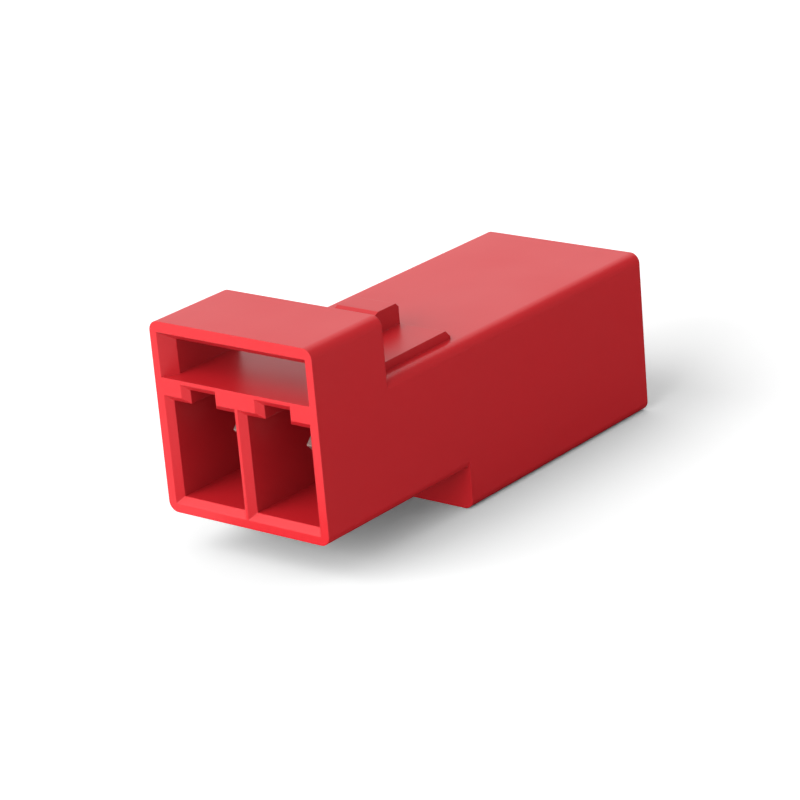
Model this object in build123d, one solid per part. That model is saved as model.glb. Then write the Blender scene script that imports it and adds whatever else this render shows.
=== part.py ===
from build123d import *
import os

# Half of a two-position in-line connector: a moulded housing and its two stamped pin contacts.
# Lengths are in millimetres. X runs across the two positions, Y from the mating face to the wire end
# and Z up. The origin is on the underside of the rear section, in the middle of the length and width.

# Body of the housing
contact_pitch = 3.96        # between the two positions
body_width = 8.6
body_length = 22.35
body_height = 7.42          # of the rear section
overall_height = 10.14      # to the top of the arch
step_drop = 1.8             # how much lower the rear section reaches than the nose
step_wall = 0.75            # from the step in the underside to the pocket behind it
edge_radius = 0.45          # rounds of the edges that run along the length

# Mating cells, open at the mating face
cell_width = 3.27
cell_height = 4.22
cell_floor_wall = 0.66
cell_depth = 8.6
key_width = 1.33            # keyway in the ceiling of each cell
key_height = 0.6
mouth_chamfer = 0.28

# Arch over the nose, which the latch of the other half passes under
arch_length = 4.38
arch_roof = 0.92            # behind the lead-in
arch_wall = 0.78            # thickness of its two posts behind the lead-in
arch_mouth_wall = 0.36      # and at the mating face
arch_lead_in = 0.69
roof_lead_in = 0.45         # how much thinner the roof is at the mating face

# Slab over the keyways, as wide as the space under the arch, and the nib that the latch hooks behind
slab_height = 0.4           # at its end
slab_fall = 0.1             # how much lower it and the tunnel's floor are at the mating face
slab_overrun = 1.02         # past the end of the keyways
slab_bevel = 0.3
nib_width = 2.22
nib_height = 0.92           # above the end of the slab
nib_inset = 0.29            # from the end of the slab to the back of the nib
nib_flat = 1.32
nib_ramp = 2.25
nib_corner = 0.17

# Contacts
pin_size = 1.14
pin_setback = 2.46          # pin tip behind the mating face
pin_height = 3.02           # pin axis above the underside of the nose
pin_tip_length = 0.54
pin_tip_flat = 0.06
strip_thickness = 0.3
box_width = 2.9
box_height = 2.6
box_length = 3.2
seam_width = 0.12
neck_rise = 0.44            # strip behind the box, above the underside of the box
neck_length = 0.8
wire_barrel_width = 2.1
wire_barrel_drop = 0.16     # ends of its ears, below the top of the box
wire_barrel_length = 2.6
grip_gap = 0.9              # between the two barrels
grip_barrel_length = 2.6    # as wide and high as the box, to pass through the same chamber
barrel_radius = 0.45
cutoff_tab = 0.4
serration_count = 3
serration_width = 0.25
serration_depth = 0.08

# Contact chambers behind the cells
partition_wall = 1.4
rear_floor_wall = 0.75
shelf_thickness = 0.8
front_shelf_overlap = 0.6   # box reaching back past the end of the front shelf
lance_width = 1.8
lance_thickness = 0.6
lance_length = 4.2
lance_tip_land = 0.3
lance_ramp = 1.3
entry_chamfer = 0.3

# Clearances
pin_clearance = 0.05        # each side of a pin in its passage
box_clearance = 0.1         # each side of a box, and above it
lance_clearance = 0.1       # lance to the box in front and to the strip above

# Width of the slab and of the space under the arch
slab_width = body_width - 2 * arch_wall

# Places along the length
front = -body_length / 2
rear = body_length / 2
cell_end = front + cell_depth
slab_back = cell_end + slab_overrun
seat = cell_end + partition_wall
step = seat - step_wall
box_back = seat + box_length
wire_barrel_front = box_back + neck_length
wire_barrel_back = wire_barrel_front + wire_barrel_length
grip_barrel_front = wire_barrel_back + grip_gap
grip_barrel_back = grip_barrel_front + grip_barrel_length
lance_tip = box_back + lance_clearance
lance_root = lance_tip + lance_length

# Heights
nose_floor = step_drop
body_top = body_height
slab_top = body_top + slab_height
arch_top = overall_height
arch_ceiling = arch_top - arch_roof
cell_floor = nose_floor + cell_floor_wall
cell_ceiling = cell_floor + cell_height
key_top = cell_ceiling + key_height
pin_axis = nose_floor + pin_height
box_floor = pin_axis - box_height / 2
shelf_underside = box_floor - shelf_thickness
chamber_ceiling = box_floor + box_height + box_clearance
neck_floor = box_floor + neck_rise
wire_barrel_height = box_height - neck_rise - wire_barrel_drop

positions = {"left": -contact_pitch / 2, "right": contact_pitch / 2}


def block(half_width, y_low, y_high, z_low, z_high):
    """A box centred on X."""
    middle = Pos(0, (y_low + y_high) / 2, (z_low + z_high) / 2)
    return middle * Box(2 * half_width, y_high - y_low, z_high - z_low)


def along(profile, y_low, y_high):
    """Extrude a profile drawn in X and Z along the length."""
    return extrude(Plane.XZ.offset(-y_low) * profile, amount=y_high - y_low, dir=(0, 1, 0))


def across(points, width):
    """Extrude an outline of (y, z) points to a width centred on X."""
    outline = Plane.YZ.offset(-width / 2) * Polygon(*points, align=None)
    return extrude(outline, amount=width, dir=(1, 0, 0))


def upright(points, z_low, z_high):
    """Extrude an outline of (x, y) points upwards."""
    outline = Plane.XY.offset(z_low) * Polygon(*points, align=None)
    return extrude(outline, amount=z_high - z_low, dir=(0, 0, 1))


def section(y_low, y_high, z_low, z_high):
    """A length of the body, with its four long edges rounded."""
    profile = RectangleRounded(body_width, z_high - z_low, edge_radius)
    return along(Pos(0, (z_low + z_high) / 2) * profile, y_low, y_high)


def slab_level(y):
    """Height of the slab's top and of the tunnel's floor, which fall evenly towards the mating face."""
    return slab_top - slab_fall * (slab_back - y) / (slab_back - front)


def arch_tunnel():
    """The space under the arch: a lead-in, then a straight way through."""
    back = front + arch_length
    throat = front + arch_lead_in
    right = [(body_width / 2 - arch_mouth_wall, front), (slab_width / 2, throat), (slab_width / 2, back)]
    left = [(-x, y) for x, y in reversed(right)]
    plan = upright(right + left, body_top, arch_top)
    floor = [(y, slab_level(y)) for y in (front, back)]
    roof = [(back, arch_ceiling), (throat, arch_ceiling), (front, arch_ceiling + roof_lead_in)]
    return plan & across(floor + roof, body_width)


def arch():
    """The full-height start of the nose, with the tunnel through it."""
    return section(front, front + arch_length, nose_floor, arch_top) - arch_tunnel()


def slab():
    """The raised slab behind the arch, bevelled at its end, its foot in the wall below."""
    start, foot, bevel = front + arch_length, body_top - slab_height, slab_bevel
    end = [(slab_back, slab_top - bevel), (slab_back - bevel, slab_level(slab_back - bevel))]
    return across([(start, foot), (slab_back, foot), *end, (start, slab_level(start))], slab_width)


def nib():
    """The locking nib: a ramp that rises towards the rear, a flat top and an upright back."""
    back, top, foot = slab_back - nib_inset, slab_top + nib_height, body_top - slab_height
    flat_start = back - nib_flat
    ramp_start = flat_start - nib_ramp
    ramp = [(flat_start, top), (ramp_start, slab_level(ramp_start)), (ramp_start, foot)]
    return across([(back, foot), (back, top - nib_corner), (back - nib_corner, top), *ramp], nib_width)


def cell_outline(grow):
    """A mating cell with its keyway, as one outline grown by an even margin."""
    side, key = cell_width / 2 + grow, key_width / 2 + grow
    ceiling, top = cell_ceiling + grow, key_top + grow
    right = [(side, cell_floor - grow), (side, ceiling), (key, ceiling), (key, top)]
    left = [(-x, z) for x, z in reversed(right)]
    return Polygon(*right, *left, align=None)


def mating_cell():
    """The hollow of one cell, with the chamfer round its mouth."""
    outside = Plane.XZ.offset(-front) * cell_outline(mouth_chamfer)
    inside = Plane.XZ.offset(-front - mouth_chamfer) * cell_outline(0)
    return along(cell_outline(0), front, cell_end) + loft([outside, inside], ruled=True)


def wire_entry(z_low, z_high):
    """A chamber's opening in the rear face, with the chamfer round it."""
    width, height = box_width + 2 * box_clearance, z_high - z_low
    middle = Pos(0, (z_low + z_high) / 2)
    inside = Plane.XZ.offset(entry_chamfer - rear) * middle * Rectangle(width, height)
    outside = middle * Rectangle(width + 2 * entry_chamfer, height + 2 * entry_chamfer)
    return loft([inside, Plane.XZ.offset(-rear) * outside], ruled=True)


def lance():
    """The springy finger that holds a contact: a beam on the rear shelf, with a hooked tip."""
    beam_top, tip_top = shelf_underside + lance_thickness, neck_floor - lance_clearance
    ramp_start, root = lance_tip + lance_tip_land + lance_ramp, lance_root + lance_thickness
    points = [(lance_tip, shelf_underside), (root, shelf_underside), (root, beam_top), (ramp_start, beam_top)]
    return across(points + [(lance_tip + lance_tip_land, tip_top), (lance_tip, tip_top)], lance_width)


def contact_chamber():
    """The hollow behind one cell: pin passage, chamber, lance pocket and the slot between them."""
    half, passage = box_width / 2 + box_clearance, pin_size / 2 + pin_clearance
    hollow = block(passage, cell_end, seat, pin_axis - passage, pin_axis + passage)
    hollow += block(half, seat, rear, box_floor, chamber_ceiling)
    hollow += block(half, seat, rear, rear_floor_wall, shelf_underside)
    hollow += block(half, box_back - front_shelf_overlap, lance_root, shelf_underside, box_floor)
    return hollow + wire_entry(box_floor, chamber_ceiling) - lance()


def housing():
    """The one-piece moulding."""
    body = section(front, step, nose_floor, body_top) + section(step, rear, 0, body_top)
    body += arch()
    body += slab()
    body += nib()
    for x in positions.values():
        body -= Pos(x, 0, 0) * mating_cell()
        body -= Pos(x, 0, 0) * contact_chamber()
    return body


def pin():
    """The square pin, narrowed from above and below to a blunt wedge at its tip."""
    tip, root = front + pin_setback, seat + strip_thickness
    shoulder = tip + pin_tip_length
    upper = [(tip, pin_tip_flat / 2), (shoulder, pin_size / 2), (root, pin_size / 2)]
    lower = [(y, -z) for y, z in reversed(upper)]
    return Pos(0, 0, pin_axis) * across(upper + lower, pin_size)


def contact_box():
    """The folded box that seats against the partition, open at the back, its seam on top."""
    inner, top = box_width / 2 - strip_thickness, box_floor + box_height
    box = block(box_width / 2, seat, box_back, box_floor, top)
    box -= block(inner, seat + strip_thickness, box_back, box_floor + strip_thickness, top - strip_thickness)
    return box - block(seam_width / 2, seat + strip_thickness, box_back, top - strip_thickness, top)


def barrel_profile(width, height, floor, radius):
    """An upright rectangle on a floor, with its two lower corners rounded."""
    rectangle = Pos(0, floor + height / 2) * Rectangle(width, height)
    return fillet(rectangle.vertices().group_by(Axis.Y)[0], radius)


def crimp_barrel(width, height, floor, y_low, y_high):
    """An open barrel, bent up from the strip into a U."""
    outer = barrel_profile(width, height, floor, barrel_radius)
    inner_width = width - 2 * strip_thickness
    inner = barrel_profile(inner_width, height, floor + strip_thickness, barrel_radius - strip_thickness)
    return along(outer - inner, y_low, y_high)


def serrations():
    """The grooves across the floor of the wire barrel that grip the strands."""
    gap = wire_barrel_length / (serration_count + 1)
    half, floor = wire_barrel_width / 2 - barrel_radius, neck_floor + strip_thickness
    grooves = Part()
    for index in range(serration_count):
        middle = wire_barrel_front + (index + 1) * gap
        low, high = middle - serration_width / 2, middle + serration_width / 2
        grooves += block(half, low, high, floor - serration_depth, floor)
    return grooves


def strip():
    """The flat strip: back from the box, down to the grip barrel and on to a cut-off tab."""
    width = wire_barrel_width - 2 * barrel_radius
    joggle, end = box_back - strip_thickness, grip_barrel_back + cutoff_tab
    under = [(joggle, box_floor), (box_back, box_floor), (box_back, neck_floor),
             (wire_barrel_back, neck_floor), (grip_barrel_front, box_floor), (end, box_floor)]
    box_strip, neck_strip = box_floor + strip_thickness, neck_floor + strip_thickness
    over = [(end, box_strip), (grip_barrel_front, box_strip), (wire_barrel_back, neck_strip)]
    return across(under + over + [(joggle, neck_strip)], width)


def contact():
    """One stamped and folded contact."""
    wire_barrel = crimp_barrel(wire_barrel_width, wire_barrel_height, neck_floor,
                               wire_barrel_front, wire_barrel_back)
    grip_barrel = crimp_barrel(box_width, box_height, box_floor, grip_barrel_front, grip_barrel_back)
    return pin() + contact_box() + strip() + wire_barrel + grip_barrel - serrations()


os.makedirs("parts", exist_ok=True)
export_step(housing(), "parts/housing.step")
for side, x in positions.items():
    export_step(Pos(x, 0, 0) * contact(), f"parts/contact_{side}.step")
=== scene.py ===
import math

import bpy
from bpy.props import FloatProperty, FloatVectorProperty, PointerProperty
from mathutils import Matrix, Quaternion, Vector


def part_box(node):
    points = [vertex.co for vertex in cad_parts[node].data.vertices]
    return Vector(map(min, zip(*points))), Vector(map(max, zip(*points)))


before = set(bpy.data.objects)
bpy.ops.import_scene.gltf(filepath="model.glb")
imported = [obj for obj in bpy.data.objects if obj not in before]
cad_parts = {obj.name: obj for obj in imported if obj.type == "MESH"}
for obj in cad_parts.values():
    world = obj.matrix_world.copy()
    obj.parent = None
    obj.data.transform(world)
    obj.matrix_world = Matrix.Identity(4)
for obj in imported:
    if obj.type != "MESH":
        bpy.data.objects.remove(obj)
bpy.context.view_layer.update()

bl_info = {
    "name": "Wire-to-Wire Connector",
    "version": (1, 0, 0),
    "blender": (4, 5, 0),
    "location": "3D View > Sidebar > Connector",
    "description": "Finishes a two-position in-line connector half and sets it on a studio floor",
    "category": "Object",
}

# All lengths are in metres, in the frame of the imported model: X across the two positions, Y from the
# mating face to the wire end, Z up from the floor.
mm = 0.001
white = (1, 1, 1, 1)

# The Mix node's sockets for colours, which share their names with its other sockets
mix_first, mix_second, mix_result = 6, 7, 2

# Both finishes
cloud_size = 5 * mm             # broad drifts of tone and gloss
noise_detail = 2                # finer layers in each noise
gloss_spread = 0.1              # roughness gained from the glossiest place to the dullest

# Moulded plastic
flow_size = 0.9 * mm            # marks of the melt, across the way that it ran
flow_stretch = 12               # how much longer they are along it
flow_share = 0.35               # of the tone; the drifts make up the rest
edge_samples = 6                # rays that the softening of the edges sends out

# Plated contacts
rolling_size = 0.06 * mm        # lines left by the rolls, across the strip
rolling_stretch = 40
barrels_length = 7.3 * mm       # from the back of the box to the cut end
cut_face_slope = 0.9            # a face that looks along the strip more than this was sheared

# Stage
floor_reach = 1.5
floor_gap = 0.005 * mm          # below the underside, so that the two never fight for one place
view_start = 0.1                # of the camera's distance, where its view begins


class Value:
    """A node's output. Arithmetic on it adds Math nodes to its tree."""

    def __init__(self, tree, socket):
        self.tree = tree
        self.socket = socket

    def math(self, operation, *operands):
        return self.tree.add("ShaderNodeMath", {"operation": operation}, dict(enumerate(operands)))

    def __add__(self, other):
        return self.math("ADD", self, other)

    def __sub__(self, other):
        return self.math("SUBTRACT", self, other)

    def __rsub__(self, other):
        return self.math("SUBTRACT", other, self)

    def __mul__(self, other):
        return self.math("MULTIPLY", self, other)

    def __gt__(self, other):
        return self.math("GREATER_THAN", self, other)

    def __abs__(self):
        return self.math("ABSOLUTE", self)

    __radd__ = __add__
    __rmul__ = __mul__


class Tree:
    """The nodes of a material or world, filled from Python."""

    def __init__(self, owner):
        owner.use_nodes = True
        self.nodes = owner.node_tree.nodes
        self.links = owner.node_tree.links
        self.nodes.clear()

    def add(self, kind, settings=None, values=None, output=0):
        """Add a node, give it its settings and then its sockets' values or links, and return one output."""
        node = self.nodes.new(kind)
        for name, setting in (settings or {}).items():
            setattr(node, name, setting)
        for name, value in (values or {}).items():
            if isinstance(value, Value):
                self.links.new(value.socket, node.inputs[name])
            else:
                node.inputs[name].default_value = value
        return Value(self, node.outputs[output]) if node.outputs else None

    def mix(self, factor, first, second):
        """Blend two colours, each a node's output or three numbers."""
        first, second = (c if isinstance(c, Value) else (*c, 1) for c in (first, second))
        values = {"Factor": factor, mix_first: first, mix_second: second}
        return self.add("ShaderNodeMix", {"data_type": "RGBA"}, values, mix_result)

    def noise(self, place, size, stretch=1):
        """Soft noise from 0 to 1 with features of one size, drawn out along Y by the stretch."""
        drawn = self.add("ShaderNodeMapping", values={"Vector": place, "Scale": (1, 1 / stretch, 1)})
        values = {"Vector": drawn, "Scale": 1 / size, "Detail": noise_detail}
        return self.add("ShaderNodeTexNoise", values=values)

    def ray(self, kind):
        """1 for one kind of ray, and 0 for the others."""
        return self.add("ShaderNodeLightPath", output=f"Is {kind} Ray")

    def seen(self):
        """1 for what the camera sees, straight or in gloss or glass, and 0 for the light on the object."""
        level = self.ray("Camera")
        for kind in ("Glossy", "Transmission"):
            level = level.math("MAXIMUM", level, self.ray(kind))
        return level


def moulded_plastic(settings):
    """Satin plastic with faint drifts and flow marks in tone and gloss, mould grain and softened edges.

    Diffuse rays see a plain grey instead of its red, so it tints neither the floor nor its own hollows.
    """
    material = bpy.data.materials.new("moulded_plastic")
    tree = Tree(material)
    place = tree.add("ShaderNodeTexCoord", output="Object")
    cloud = tree.noise(place, cloud_size)
    flow = tree.noise(place, flow_size, stretch=flow_stretch)
    tone = flow * flow_share + cloud * (1 - flow_share)
    moulded = tree.mix(tone, settings.colour, settings.flow_colour)
    cast = (settings.cast,) * 3
    grain = tree.noise(place, settings.grain_size)
    edges = tree.add("ShaderNodeBevel", {"samples": edge_samples}, {"Radius": settings.edge_round})
    normal = tree.add("ShaderNodeBump", values={
        "Height": grain, "Distance": settings.grain_depth, "Normal": edges})
    surface = tree.add("ShaderNodeBsdfPrincipled", values={
        "Base Color": tree.mix(tree.ray("Diffuse"), moulded, cast),
        "Roughness": cloud * gloss_spread + (settings.roughness - gloss_spread / 2),
        "IOR": settings.ior,
        "Normal": normal})
    tree.add("ShaderNodeOutputMaterial", values={"Surface": surface})
    return material


def plated_metal(settings, cut_after):
    """Tin-plated strip with rolling lines. Its sheared faces past cut_after show the bare brass."""
    material = bpy.data.materials.new("plated_metal")
    tree = Tree(material)
    place = tree.add("ShaderNodeTexCoord", output="Object")
    cloud = tree.noise(place, cloud_size)
    rolling = tree.noise(place, rolling_size, stretch=rolling_stretch)
    plating = tree.mix(cloud, settings.plating, settings.dull_plating)
    along = tree.add("ShaderNodeSeparateXYZ", values={"Vector": place}, output="Y")
    facing = tree.add("ShaderNodeSeparateXYZ", output="Y", values={
        "Vector": tree.add("ShaderNodeNewGeometry", output="True Normal")})
    bare = (along > cut_after) * (abs(facing) > cut_face_slope)
    normal = tree.add("ShaderNodeBump", values={"Height": rolling, "Distance": settings.rolling_depth})
    surface = tree.add("ShaderNodeBsdfPrincipled", values={
        "Base Color": tree.mix(bare, plating, settings.brass),
        "Metallic": 1,
        "Roughness": rolling * gloss_spread + (settings.roughness - gloss_spread / 2),
        "Normal": normal})
    tree.add("ShaderNodeOutputMaterial", values={"Surface": surface})
    return material


def dress(node, material):
    """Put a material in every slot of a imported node."""
    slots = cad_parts[node].material_slots
    if not slots:
        raise RuntimeError(f"{node} has no material slot to fill")
    for slot in slots:
        slot.material = material


def add_sheet(name, corners, material):
    """One flat stage piece with these corners."""
    mesh = bpy.data.meshes.new(name)
    mesh.from_pydata(corners, [], [range(len(corners))])
    mesh.materials.append(material)
    sheet = bpy.data.objects.new(name, mesh)
    bpy.context.collection.objects.link(sheet)
    return sheet


def level_corners(left, near, right, far, height):
    """The corners of a level rectangle."""
    return [(left, near, height), (right, near, height), (right, far, height), (left, far, height)]


def lay_floor(settings):
    """A wide plain floor. What the camera sees of it is brought up to white, and shadows stay on it."""
    material = bpy.data.materials.new("studio_floor")
    tree = Tree(material)
    shown = [level * settings.floor_gain for level in settings.floor]
    surface = tree.add("ShaderNodeBsdfDiffuse", values={
        "Color": tree.mix(tree.seen(), settings.floor, shown)})
    tree.add("ShaderNodeOutputMaterial", values={"Surface": surface})
    corners = level_corners(-floor_reach, -floor_reach, floor_reach, floor_reach, -floor_gap)
    add_sheet("studio_floor", corners, material)


def raise_dome(settings):
    """The soft light from all round, in front of a white backdrop."""
    world = bpy.data.worlds.new("studio_dome")
    tree = Tree(world)
    seen = tree.seen()
    level = seen + (1 - seen) * settings.dome
    surface = tree.add("ShaderNodeBackground", values={"Color": white, "Strength": level})
    tree.add("ShaderNodeOutputWorld", values={"Surface": surface})
    bpy.context.scene.world = world


def hang_lamp(name, level, azimuth, elevation, width):
    """A large soft lamp, far enough away to light the whole stage alike."""
    lamp = bpy.data.lights.new(name, "SUN")
    lamp.energy = level * math.pi       # lights a white surface that faces it to that level
    lamp.angle = width
    holder = bpy.data.objects.new(name, lamp)
    bpy.context.collection.objects.link(holder)
    holder.rotation_mode = "QUATERNION"
    holder.rotation_quaternion = (-outward(azimuth, elevation)).to_track_quat("-Z", "Y")


def set_painted_reflections(settings):
    """Cards beside the right side and on the floor. Only gloss sees them, so they cast no shadow.

    They are painted reflections, which darken the gloss where the floor round the object lies in shade.
    Both are black, and the upright one turns grey towards its top.
    """
    material = bpy.data.materials.new("black_card")
    tree = Tree(material)
    place = tree.add("ShaderNodeTexCoord", output="Object")
    height = tree.add("ShaderNodeSeparateXYZ", values={"Vector": place}, output="Z")
    level = tree.add("ShaderNodeMapRange", values={
        "Value": height, "From Min": settings.card_black, "From Max": settings.card_height,
        "To Max": settings.card_reflection_level})
    # Painted reflection: an emission that only gloss sees, black low down and grey towards the top
    surface = tree.add("ShaderNodeEmission", values={"Color": level})
    tree.add("ShaderNodeOutputMaterial", values={"Surface": surface})
    low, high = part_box("housing")
    left, right, top = low[0], high[0] + settings.card_gap, settings.card_height
    near, start, far = low[1] - settings.card_front, low[1], high[1] + top
    side = [(right, start, 0), (right, far, 0), (right, far, top), (right, start, top)]
    flat = level_corners(left, near, right, far, -floor_gap / 2)
    for name, corners in (("side_card", side), ("floor_card", flat)):
        card = add_sheet(name, corners, material)
        # Hidden from the camera, from scattered light and from shadows, so each card shows only as a
        # painted dark reflection
        card.visible_camera = card.visible_diffuse = card.visible_shadow = False


def outward(azimuth, elevation):
    """The direction from the object to a lamp or camera. Azimuth 0 is in front of the mating face."""
    across = math.cos(elevation)
    return Vector((math.sin(azimuth) * across, -math.cos(azimuth) * across, math.sin(elevation)))


def place_camera(settings):
    """The camera, from the azimuth, elevation and roll at which the object is seen."""
    camera = bpy.data.cameras.new("camera")
    camera.lens = settings.lens
    camera.clip_start = settings.distance * view_start
    holder = bpy.data.objects.new("camera", camera)
    bpy.context.collection.objects.link(holder)
    back = outward(settings.azimuth, settings.elevation)
    holder.location = Vector(settings.target) + back * settings.distance
    holder.rotation_mode = "QUATERNION"
    holder.rotation_quaternion = (-back).to_track_quat("-Z", "Y") @ Quaternion((0, 0, 1), settings.roll)
    bpy.context.scene.camera = holder


def colour_property(name, description, default):
    return FloatVectorProperty(
        name=name, description=description, default=default, min=0, max=1, subtype="COLOR")


def length_property(name, description, default):
    return FloatProperty(
        name=name, description=description, default=default, min=0, unit="LENGTH", precision=6)


def angle_property(name, description, degrees):
    return FloatProperty(
        name=name, description=description, default=math.radians(degrees), subtype="ANGLE")


def level_property(name, description, default):
    return FloatProperty(name=name, description=description, default=default, min=0)


class PlasticSettings(bpy.types.PropertyGroup):
    colour: colour_property("Colour", "Main colour of the moulding", (0.8, 0.0185, 0.028))
    flow_colour: colour_property(
        "Flow colour", "Deeper colour in the drifts and flow marks", (0.75, 0.0155, 0.0235))
    roughness: level_property("Roughness", "How matt the moulding is", 0.36)
    ior: level_property("IOR", "Index of refraction of the plastic", 1.47)
    cast: level_property("Cast", "Grey that it throws on to what is round it, in place of its colour", 0.25)
    edge_round: length_property("Edge round", "Softening of the sharp edges", 0.05 * mm)
    grain_size: length_property("Grain size", "Size of the mould's grain", 0.12 * mm)
    grain_depth: length_property("Grain depth", "Depth of the mould's grain", 0.0012 * mm)


class ContactSettings(bpy.types.PropertyGroup):
    plating: colour_property("Plating", "Colour of the tin plating", (0.58, 0.5, 0.46))
    dull_plating: colour_property(
        "Dull plating", "Colour of the plating where it has dulled", (0.48, 0.41, 0.37))
    brass: colour_property("Brass", "Colour of the bare strip", (0.72, 0.5, 0.23))
    roughness: level_property("Roughness", "How matt the plating is", 0.55)
    rolling_depth: length_property("Rolling depth", "Depth of the rolling lines", 0.0008 * mm)


class StageSettings(bpy.types.PropertyGroup):
    floor: colour_property("Floor", "Colour of the floor", (0.6, 0.6, 0.6))
    floor_gain: level_property("Floor gain", "Brings the floor that the camera sees up to white", 2.2)
    dome: level_property("Dome", "Level of the light from all round", 0.53)
    key: level_property("Key", "Level of the high key light", 0.35)
    key_azimuth: angle_property("Key azimuth", "Where the key light stands round the object", -30)
    key_elevation: angle_property("Key elevation", "How high the key light stands", 40)
    key_width: angle_property("Key width", "Angle that the key light fills, seen from the object", 45)
    fill: level_property("Fill", "Level of the low fill light", 0.66)
    fill_azimuth: angle_property("Fill azimuth", "Where the fill light stands round the object", 0)
    fill_elevation: angle_property("Fill elevation", "How high the fill light stands", 12)
    fill_width: angle_property("Fill width", "Angle that the fill light fills, seen from the object", 45)
    # The cards paint dark reflections beside and under the object, in place of the shaded floor; only gloss
    # sees them
    card_gap: length_property("Card gap", "From the right side to the card beside it", 1 * mm)
    card_front: length_property("Card front", "How far the card on the floor reaches in front", 6 * mm)
    card_height: length_property("Card height", "Height of the card beside the right side", 22 * mm)
    card_black: length_property("Card black", "Height up to which that card is black", 4.6 * mm)
    card_reflection_level: level_property("Card level", "How bright it has become at its top", 0.22)
    azimuth: angle_property("Camera azimuth", "Where the camera stands round the object", 40.08)
    elevation: angle_property("Camera elevation", "How high the camera stands", 19.99)
    roll: angle_property("Camera roll", "Tilt of the camera about its own axis", -5.05)
    distance: length_property("Camera distance", "From the camera to its target", 132 * mm)
    lens: level_property("Lens", "Focal length in millimetres", 138.9)
    target: FloatVectorProperty(
        name="Camera target", description="Point in the middle of the picture", subtype="TRANSLATION",
        unit="LENGTH", precision=6, default=(-0.178 * mm, -0.753 * mm, 3.81 * mm))


class CONNECTOR_OT_finish_housing(bpy.types.Operator):
    """Give the housing its moulded plastic"""
    bl_idname = "connector.finish_housing"
    bl_label = "Finish Housing"

    def execute(self, context):
        dress("housing", moulded_plastic(context.scene.connector_plastic))
        return {"FINISHED"}


class CONNECTOR_OT_finish_contacts(bpy.types.Operator):
    """Give both pin contacts their plated metal"""
    bl_idname = "connector.finish_contacts"
    bl_label = "Finish Contacts"

    def execute(self, context):
        cut_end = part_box("contact_left")[1][1]
        material = plated_metal(context.scene.connector_contacts, cut_end - barrels_length)
        for side in ("left", "right"):
            dress(f"contact_{side}", material)
        return {"FINISHED"}


class CONNECTOR_OT_set_stage(bpy.types.Operator):
    """Add the floor, the soft light, the cards that paint dark reflections, and the camera"""
    bl_idname = "connector.set_stage"
    bl_label = "Set Stage"

    def execute(self, context):
        settings = context.scene.connector_stage
        lay_floor(settings)
        raise_dome(settings)
        for lamp in ("key", "fill"):
            level, azimuth, elevation, width = (
                getattr(settings, lamp + part) for part in ("", "_azimuth", "_elevation", "_width"))
            hang_lamp(f"{lamp}_light", level, azimuth, elevation, width)
        # painted dark reflections beside the right side and on the floor
        set_painted_reflections(settings)
        place_camera(settings)
        context.scene.view_settings.view_transform = "Standard"
        return {"FINISHED"}


class CONNECTOR_PT_sidebar(bpy.types.Panel):
    """Lists the connector's settings and steps in the 3D view's sidebar"""
    bl_idname = "CONNECTOR_PT_sidebar"
    bl_label = "Wire Connector"
    bl_space_type = "VIEW_3D"
    bl_region_type = "UI"
    bl_category = "Connector"

    def draw(self, context):
        for operator, group in steps:
            column = self.layout.column(align=True)
            settings = getattr(context.scene, group)
            for name in settings.bl_rna.properties.keys():
                if name not in ("rna_type", "name"):
                    column.prop(settings, name)
            column.operator(operator.bl_idname)


groups = {
    "connector_plastic": PlasticSettings,
    "connector_contacts": ContactSettings,
    "connector_stage": StageSettings,
}
steps = [
    (CONNECTOR_OT_finish_housing, "connector_plastic"),
    (CONNECTOR_OT_finish_contacts, "connector_contacts"),
    (CONNECTOR_OT_set_stage, "connector_stage"),
]


def classes():
    return [*groups.values(), *(operator for operator, group in steps), CONNECTOR_PT_sidebar]


def register():
    for cls in classes():
        bpy.utils.register_class(cls)
    for name, group in groups.items():
        setattr(bpy.types.Scene, name, PointerProperty(type=group))


def unregister():
    for name in groups:
        delattr(bpy.types.Scene, name)
    for cls in reversed(classes()):
        bpy.utils.unregister_class(cls)


def main():
    register()
    bpy.ops.connector.finish_housing()
    bpy.ops.connector.finish_contacts()
    bpy.ops.connector.set_stage()


if __name__ == "__main__":
    main()
